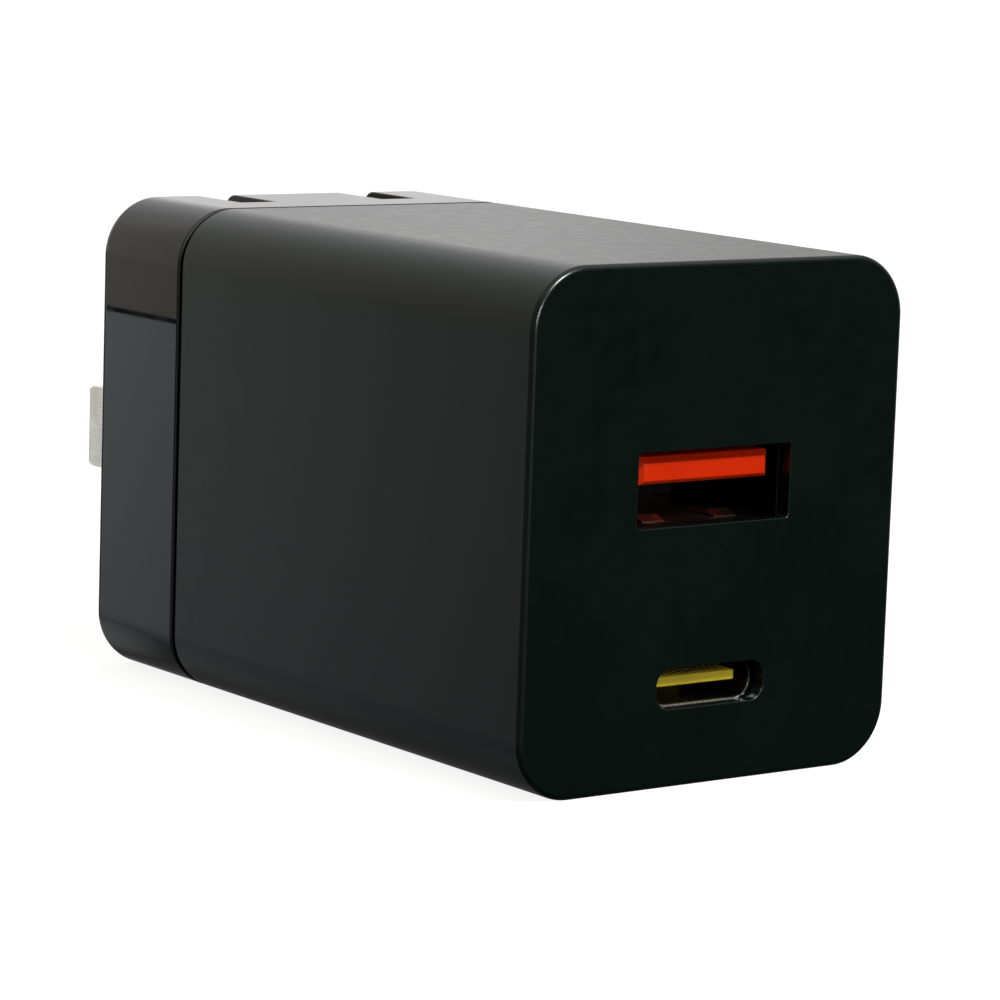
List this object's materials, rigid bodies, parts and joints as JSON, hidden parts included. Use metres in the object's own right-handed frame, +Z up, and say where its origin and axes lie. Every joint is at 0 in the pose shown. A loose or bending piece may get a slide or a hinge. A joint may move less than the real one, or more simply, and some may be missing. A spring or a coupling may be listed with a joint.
{
  "type": "usb wall charger",
  "caption": "Rounded block charger with output sockets in its front face and flat mains blades that fold up into slots in its rear cap.",
  "frame": {"origin": "middle of the rear face, which lies against the wall", "axes": "+Y out of the rear face towards the wall, along the unfolded blades; +Z up, the way the blades fold; +X across the body"},
  "size_m": [0.0316, 0.0702, 0.0354],
  "materials": {
    "housing_plastic": "fine matte texture, charcoal",
    "cap_plastic": "smooth satin gloss, charcoal",
    "rotor_plastic": "satin black",
    "inner_plastic": "matte black",
    "blade_metal": "fine brushed nickel plating over brass",
    "contact_brass": "bare brass strip",
    "screw_steel": "zinc plated",
    "live_insulation": "brown wire insulation",
    "neutral_insulation": "blue wire insulation",
    "circuit_board": "green solder mask",
    "insulation_film": "translucent film",
    "dark_nickel": "black nickel plating",
    "bright_nickel": "bright nickel plating",
    "orange_insulator": "moulded orange insulator",
    "mustard_insulator": "moulded mustard insulator",
    "gold_contact": "gold plated",
    "ferrite": "sintered ferrite",
    "copper_wire": "enamelled copper wire",
    "tape": "yellow polyester tape",
    "capacitor_sleeve": "shrink sleeve",
    "capacitor_can": "bare can",
    "film_capacitor_case": "moulded case",
    "disc_coating": "dipped coating",
    "fuse_body": "ceramic tube with metal ends",
    "chip_resin": "moulded resin",
    "chip_ceramic": "sintered body with metal ends",
    "spreader_metal": "rolled sheet",
    "pad_silicone": "soft silicone pad"
  },
  "bodies": {
    "charger_body": {"housing_shell": "housing_plastic", "rear_cap": "cap_plastic", "rotor_retainer": "inner_plastic", "retainer_screws": "screw_steel", "contact_left": "contact_brass", "contact_right": "contact_brass", "live_lead": "live_insulation", "neutral_lead": "neutral_insulation", "main_board": "circuit_board", "port_board": "circuit_board", "insulation_sheet": "insulation_film", "usb_a_shell": "dark_nickel", "usb_a_tongue": "orange_insulator", "usb_a_contacts": "gold_contact", "usb_c_shell": "bright_nickel", "usb_c_tongue": "mustard_insulator", "usb_c_contacts": "gold_contact", "transformer_core_lower": "ferrite", "transformer_core_upper": "ferrite", "transformer_bobbin": "inner_plastic", "transformer_winding": "copper_wire", "transformer_tape": "tape", "bulk_capacitor_left": "capacitor_sleeve", "bulk_capacitor_middle": "capacitor_sleeve", "bulk_capacitor_right": "capacitor_sleeve", "output_capacitor": "capacitor_can", "x_capacitor": "film_capacitor_case", "y_capacitor": "disc_coating", "choke_core": "ferrite", "choke_winding": "copper_wire", "fuse": "fuse_body", "bridge_rectifier": "chip_resin", "power_switch": "chip_resin", "sync_rectifier": "chip_resin", "controller_ic": "chip_resin", "chip_parts": "chip_ceramic", "heat_spreader": "spreader_metal", "thermal_pad": "pad_silicone"},
    "folding_blades": {"blade_rotor": "rotor_plastic", "blade_left": "blade_metal", "blade_right": "blade_metal"}
  },
  "joints": [
    {"name": "blade_fold", "type": "hinge", "parent": "charger_body", "child": "folding_blades", "pos_m": [0, -0.0035, -0.0019], "axis": [1, 0, 0], "range_deg": [0, 90]}
  ]
}
